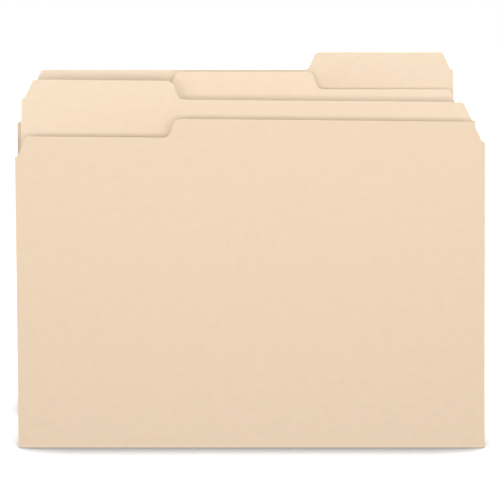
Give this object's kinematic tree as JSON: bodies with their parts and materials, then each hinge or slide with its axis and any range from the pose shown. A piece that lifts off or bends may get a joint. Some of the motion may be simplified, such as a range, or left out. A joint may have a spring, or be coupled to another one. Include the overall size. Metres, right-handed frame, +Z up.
{
  "type": "manila folder set",
  "caption": "Third-cut manila file folders with left, centre and right index tabs, standing one behind another, leaves hinged at the fold.",
  "frame": {"origin": "middle of the set's footprint, on the surface that the folds stand on", "axes": "+X along the folds to the right as seen from the front, +Y from front to back, +Z up"},
  "size_m": [0.3056, 0.2166, 0.2267],
  "materials": {
    "front_manila": "uncoated smooth manila stock",
    "middle_manila": "uncoated smooth manila stock",
    "rear_manila": "uncoated smooth manila stock"
  },
  "bodies": {
    "rear_folder_front": {"rear_folder_front_leaf": "rear_manila", "rear_folder_fold": "rear_manila", "middle_folder_fold": "middle_manila"},
    "rear_folder_back": {"rear_folder_back_leaf": "rear_manila"},
    "middle_folder_front": {"middle_folder_front_leaf": "middle_manila"},
    "middle_folder_back": {"middle_folder_back_leaf": "middle_manila"},
    "front_folder_back": {"front_folder_back_leaf": "front_manila", "front_folder_fold": "front_manila"},
    "front_folder_front": {"front_folder_front_leaf": "front_manila"}
  },
  "joints": [
    {"name": "front_folder_tip", "type": "hinge", "parent": "rear_folder_front", "child": "front_folder_back", "pos_m": [0.00352, -0.10795, 0.00038], "axis": [1, 0, 0], "range_deg": [0, 97]},
    {"name": "front_folder_close", "type": "hinge", "parent": "front_folder_back", "child": "front_folder_front", "pos_m": [0.00352, -0.10795, 0.00038], "axis": [-1, 0, 0], "range_deg": [-97, 15.4]},
    {"name": "middle_folder_open", "type": "hinge", "parent": "rear_folder_front", "child": "middle_folder_front", "pos_m": [-0.00162, -0.03535, 0.00038], "axis": [1, 0, 0], "range_deg": [0, 83]},
    {"name": "middle_folder_close", "type": "hinge", "parent": "rear_folder_front", "child": "middle_folder_back", "pos_m": [-0.00162, -0.03535, 0.00038], "axis": [1, 0, 0], "range_deg": [0, 20.2]},
    {"name": "rear_folder_open", "type": "hinge", "parent": "rear_folder_front", "child": "rear_folder_back", "pos_m": [-0.00352, 0.02425, 0.00038], "axis": [-1, 0, 0], "range_deg": [-8.4, 69.6]}
  ],
  "couplings": [
    {"joint": "front_folder_tip", "follows": "middle_folder_open", "ratio": 1.1686}
  ]
}
